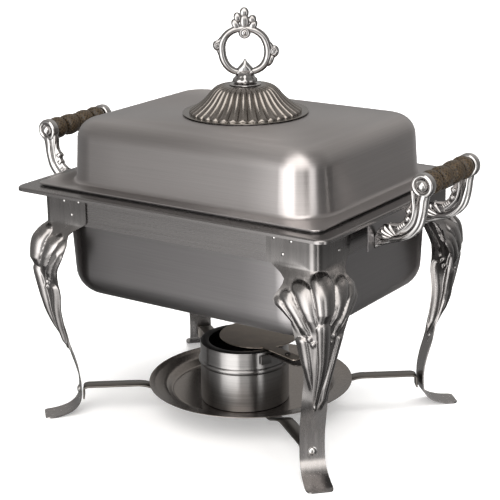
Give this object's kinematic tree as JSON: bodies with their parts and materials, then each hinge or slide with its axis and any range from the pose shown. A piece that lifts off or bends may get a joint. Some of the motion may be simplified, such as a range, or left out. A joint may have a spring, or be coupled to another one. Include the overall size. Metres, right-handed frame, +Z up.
{
  "type": "chafing dish",
  "caption": "Rectangular chafing dish on curled shell legs, with water and food pans, a domed ring-handled lid, scroll side handles and a fuel burner on a tray.",
  "frame": {"origin": "on the floor under the middle of the stand", "axes": "+X towards the right handle, along the long side; +Z up; the front, where the burner slides out, is -Y"},
  "size_m": [0.494, 0.3042, 0.4408],
  "materials": {
    "brushed_steel": "fine brushed stainless steel",
    "leg_steel": "satin stamped steel with bright edges",
    "cast_chrome": "polished casting",
    "burner_steel": "bright drawn steel",
    "dark_steel": "heat-darkened steel",
    "grip_wood": "dark turned wood with fine cross-cut grooves"
  },
  "bodies": {
    "stand": {"top_frame": "brushed_steel", "leg_front_left": "leg_steel", "rivet_front_left_long_1": "cast_chrome", "rivet_front_left_long_2": "cast_chrome", "rivet_front_left_end_1": "cast_chrome", "rivet_front_left_end_2": "cast_chrome", "leg_front_right": "leg_steel", "rivet_front_right_long_1": "cast_chrome", "rivet_front_right_long_2": "cast_chrome", "rivet_front_right_end_1": "cast_chrome", "rivet_front_right_end_2": "cast_chrome", "leg_back_left": "leg_steel", "rivet_back_left_long_1": "cast_chrome", "rivet_back_left_long_2": "cast_chrome", "rivet_back_left_end_1": "cast_chrome", "rivet_back_left_end_2": "cast_chrome", "leg_back_right": "leg_steel", "rivet_back_right_long_1": "cast_chrome", "rivet_back_right_long_2": "cast_chrome", "rivet_back_right_end_1": "cast_chrome", "rivet_back_right_end_2": "cast_chrome", "cross_strap_1": "brushed_steel", "cross_strap_2": "brushed_steel", "strap_screw_front_left": "cast_chrome", "strap_screw_front_right": "cast_chrome", "strap_screw_back_left": "cast_chrome", "strap_screw_back_right": "cast_chrome", "fuel_tray": "brushed_steel", "tray_bolt": "cast_chrome", "handle_plate_left": "brushed_steel", "handle_grip_left": "grip_wood", "handle_rod_left": "cast_chrome", "handle_scroll_left_front": "cast_chrome", "cap_nut_left_front": "cast_chrome", "scroll_screw_left_front": "cast_chrome", "handle_scroll_left_back": "cast_chrome", "cap_nut_left_back": "cast_chrome", "scroll_screw_left_back": "cast_chrome", "handle_plate_right": "brushed_steel", "handle_grip_right": "grip_wood", "handle_rod_right": "cast_chrome", "handle_scroll_right_front": "cast_chrome", "cap_nut_right_front": "cast_chrome", "scroll_screw_right_front": "cast_chrome", "handle_scroll_right_back": "cast_chrome", "cap_nut_right_back": "cast_chrome", "scroll_screw_right_back": "cast_chrome"},
    "burner": {"fuel_cup": "burner_steel"},
    "burner_cover": {"burner_cover": "burner_steel", "cover_handle": "dark_steel", "damper_rivet": "cast_chrome"},
    "damper": {"damper": "dark_steel"},
    "water_pan": {"water_pan": "brushed_steel"},
    "food_pan": {"food_pan": "brushed_steel"},
    "lid": {"lid": "brushed_steel", "finial_dome": "brushed_steel", "finial_washer": "cast_chrome", "finial_ring": "cast_chrome", "finial_screw": "cast_chrome"}
  },
  "joints": [
    {"name": "burner_slide", "type": "slide", "parent": "stand", "child": "burner", "axis": [0, -0.9604, 0.2785], "range_m": [0, 0.21]},
    {"name": "cover_lift", "type": "slide", "parent": "burner", "child": "burner_cover", "axis": [0, 0, 1], "range_m": [0, 0.03]},
    {"name": "damper_swivel", "type": "hinge", "parent": "burner_cover", "child": "damper", "pos_m": [0.0806, -0.0471, 0.092], "axis": [0, 0, 1], "range_deg": [-45, 15]},
    {"name": "water_pan_lift", "type": "slide", "parent": "stand", "child": "water_pan", "axis": [0, 0, 1], "range_m": [0, 0.16]},
    {"name": "food_pan_lift", "type": "slide", "parent": "water_pan", "child": "food_pan", "axis": [0, 0, 1], "range_m": [0, 0.09]},
    {"name": "lid_lift", "type": "slide", "parent": "food_pan", "child": "lid", "axis": [0, 0, 1], "range_m": [0, 0.12]}
  ]
}
